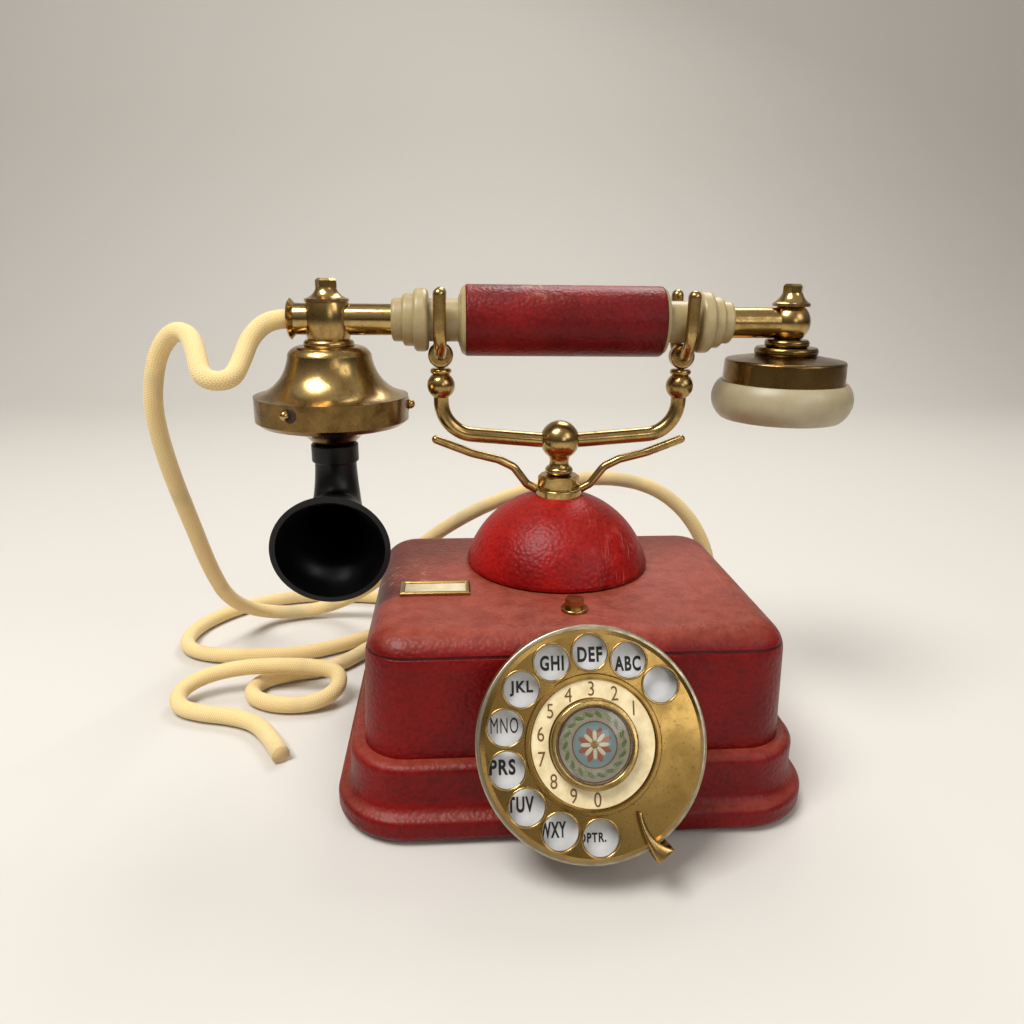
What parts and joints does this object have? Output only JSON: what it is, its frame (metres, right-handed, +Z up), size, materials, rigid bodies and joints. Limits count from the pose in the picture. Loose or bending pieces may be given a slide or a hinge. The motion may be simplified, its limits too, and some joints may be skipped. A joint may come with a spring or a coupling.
{
  "type": "rotary telephone",
  "caption": "Desk telephone with a rotary dial on a leather-covered box, a brass cradle on a dome, and a brass and ivory handset with a curved black horn mouthpiece",
  "frame": {"origin": "on the table under the cradle's stem", "axes": "+Z up, the dial faces -Y, the handset lies along X with its mouthpiece at -X"},
  "size_m": [0.3366, 0.2707, 0.2056],
  "materials": {
    "red_leather": "pebbled deep red leather, dusty on the ledges",
    "brass": "aged, lightly tarnished",
    "bell_metal": "turned",
    "steel": "plated",
    "nickel": "bright nickel plate",
    "white_enamel": "fired white enamel with black letters",
    "ivory_plastic": "yellowed ivory, glossy",
    "black_plastic": "glossy black",
    "insulator": "brown laminate",
    "grey_paint": "grey painted can",
    "coil_wrap": "varnished cloth over windings",
    "card": "pale card",
    "picture": "printed in muted green, blue and cream",
    "clear_glass": "domed, clear",
    "green_felt": "felt",
    "cream_braid": "braided cotton"
  },
  "bodies": {
    "base": {"casing": "red_leather", "plinth": "red_leather", "base_plate": "steel", "base_screws": "steel", "felt_pad": "green_felt", "bell_dome": "red_leather", "guide_tube": "brass", "guard_arms": "brass", "stem_nut": "brass", "card_frame": "brass", "number_card": "card", "cover_nut": "brass", "gongs": "bell_metal", "ringer_frame": "steel", "ringer_coils": "coil_wrap", "switch_bracket": "steel", "contact_springs": "insulator", "network_box": "grey_paint", "terminal_block": "insulator", "cord_grommets": "black_plastic", "dial_cup": "brass", "dial_rim": "nickel", "letter_plate": "white_enamel", "finger_stop": "brass", "dial_frame": "brass", "pulse_contacts": "insulator", "handset_cord": "cream_braid", "line_cord": "cream_braid"},
    "dial": {"finger_wheel": "brass", "number_ring": "ivory_plastic", "medallion_bezel": "brass", "medallion_disc": "picture", "medallion_glass": "clear_glass", "dial_shaft": "brass", "main_gear": "brass"},
    "governor": {"governor": "brass"},
    "clapper": {"clapper": "steel"},
    "hook_lever": {"hook_lever": "steel"},
    "cradle": {"cradle_stem": "brass", "fork_bar": "brass", "fork_eyes": "brass", "prong_left": "brass", "prong_right": "brass"},
    "handset": {"handset_tube": "brass", "cord_ferrule": "brass", "grip_sleeve": "red_leather", "collar_left": "ivory_plastic", "collar_right": "ivory_plastic", "knuckle_left": "brass", "knuckle_right": "brass", "finial_left": "brass", "finial_right": "brass", "transmitter_bell": "brass", "transmitter_band": "brass", "transmitter_capsule": "black_plastic", "horn": "black_plastic", "receiver_cup": "brass", "receiver_cap": "ivory_plastic", "receiver_capsule": "black_plastic"}
  },
  "joints": [
    {"name": "handset_lift", "type": "slide", "parent": "base", "child": "handset", "axis": [0, 0, 1], "range_m": [0, 0.1], "deforming": ["handset_cord"]},
    {"name": "cradle_plunger", "type": "slide", "parent": "base", "child": "cradle", "axis": [0, 0, 1], "range_m": [0, 0.004]},
    {"name": "hook_lever_turn", "type": "hinge", "parent": "base", "child": "hook_lever", "pos_m": [0, 0.022, 0.054], "axis": [-1, 0, 0], "range_deg": [0, 10]},
    {"name": "dial_turn", "type": "hinge", "parent": "base", "child": "dial", "pos_m": [0, -0.108, 0.0518], "axis": [0, 0.8988, -0.4384], "range_deg": [0, 325]},
    {"name": "governor_spin", "type": "hinge", "parent": "base", "child": "governor", "pos_m": [0.019, -0.108, 0.0518], "axis": [0, 0.8988, -0.4384], "range_deg": [-1219, 0]},
    {"name": "clapper_swing", "type": "hinge", "parent": "base", "child": "clapper", "pos_m": [-0.026, -0.008, 0.038], "axis": [0, 0, 1], "range_deg": [-1.2, 1.2]}
  ],
  "couplings": [
    {"joint": "cradle_plunger", "follows": "handset_lift", "ratio": 0.04},
    {"joint": "hook_lever_turn", "follows": "handset_lift", "rad_per_m": 1.5},
    {"joint": "governor_spin", "follows": "dial_turn", "ratio": -3.75}
  ]
}
